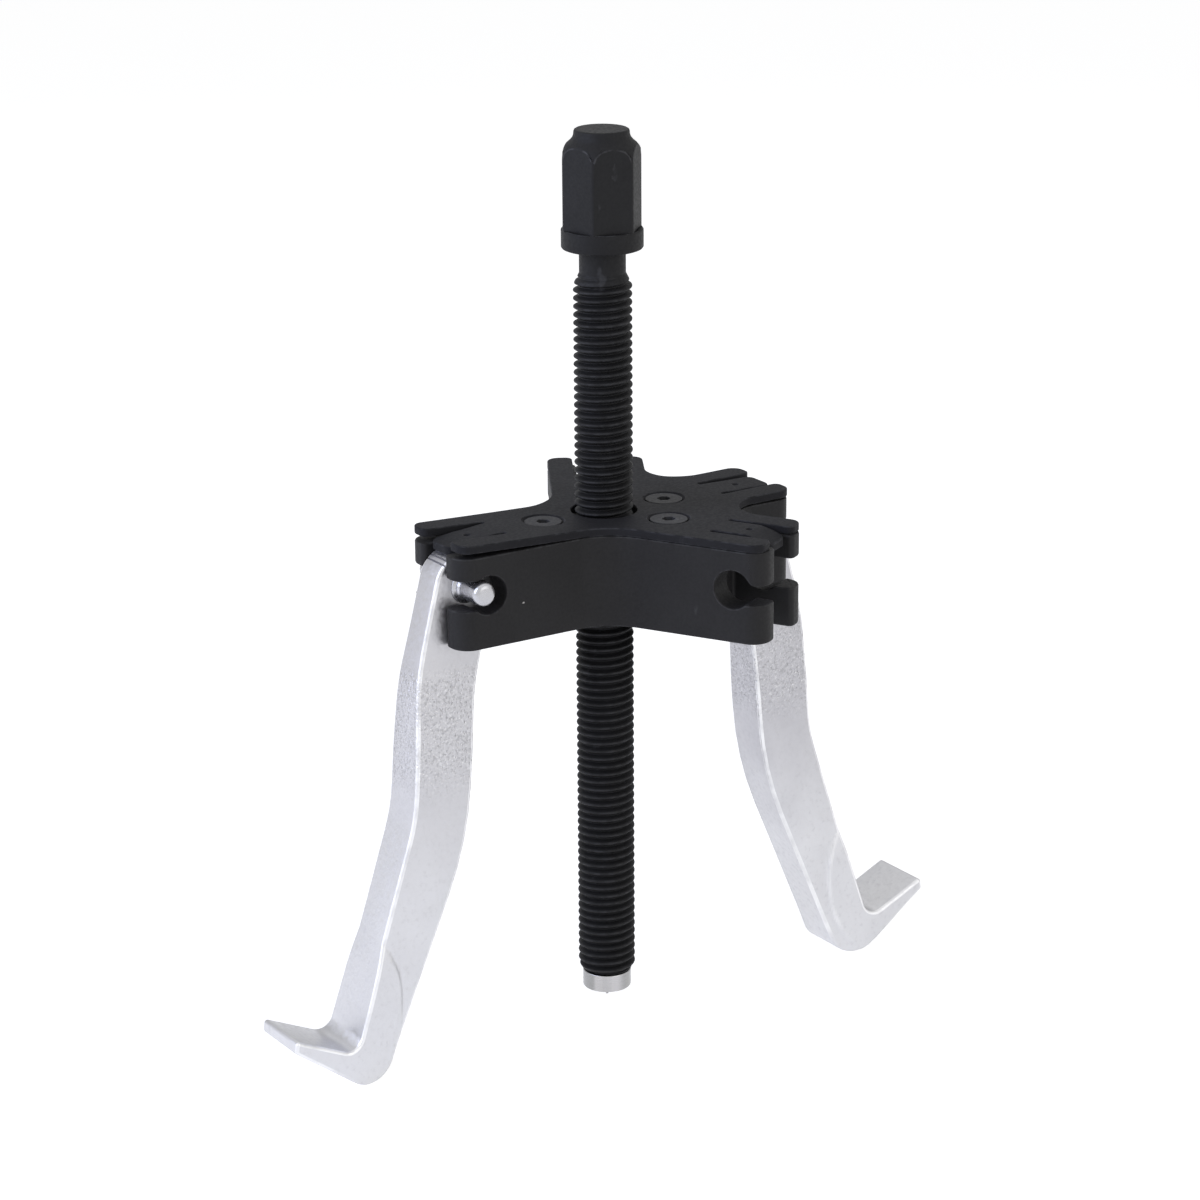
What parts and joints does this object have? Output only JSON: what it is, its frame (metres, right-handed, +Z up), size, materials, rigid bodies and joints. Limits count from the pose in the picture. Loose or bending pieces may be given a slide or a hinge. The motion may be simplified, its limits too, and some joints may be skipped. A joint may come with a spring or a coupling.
{
  "type": "gear puller",
  "caption": "Gear puller: a star-shaped yoke with forked arms under a spring plate, a hex-headed forcing spindle with a swivel pressure tip, and hooked legs that swing on pins in keyholes.",
  "frame": {"origin": "the pressure point under the spindle, on the spindle's axis, with the spindle as pictured", "axes": "+Z up the spindle towards the hexagon, +X along the right arm away from the left arm, +Y towards the back arm"},
  "size_m": [0.185, 0.091, 0.2219],
  "materials": {
    "black_yoke": "black oxide, satin",
    "black_plate": "black oxide sheet, satin",
    "grey_screw": "dull grey",
    "black_spindle": "black oxide, oiled",
    "bright_steel": "turned, hardened",
    "zinc_leg": "zinc plated forging, satin"
  },
  "bodies": {
    "yoke": {"yoke_block": "black_yoke", "spring_plate": "black_plate", "screw_right": "grey_screw", "screw_back": "grey_screw", "screw_left": "grey_screw", "screw_front": "grey_screw"},
    "tip": {"pressure_tip": "bright_steel", "thrust_ball": "bright_steel", "tip_ring": "grey_screw"},
    "spindle": {"spindle": "black_spindle"},
    "right_leg": {"right_leg": "zinc_leg"},
    "left_leg": {"left_leg": "zinc_leg"}
  },
  "joints": [
    {"name": "spindle_travel", "type": "slide", "parent": "yoke", "child": "tip", "axis": [0, 0, 1], "range_m": [-0.062, 0.094]},
    {"name": "spindle_turn", "type": "hinge", "parent": "tip", "child": "spindle", "pos_m": [0, 0, 0.1], "axis": [0, 0, 1], "range_deg": [-11161, 16921]},
    {"name": "right_leg_swing", "type": "hinge", "parent": "yoke", "child": "right_leg", "pos_m": [0.0413, 0, 0.1141], "axis": [0, -1, 0], "range_deg": [-20, 16]},
    {"name": "left_leg_swing", "type": "hinge", "parent": "yoke", "child": "left_leg", "pos_m": [-0.0413, 0, 0.1141], "axis": [0, 1, 0], "range_deg": [-20, 16]}
  ],
  "couplings": [
    {"joint": "spindle_turn", "follows": "spindle_travel", "rad_per_m": 3141.6}
  ]
}
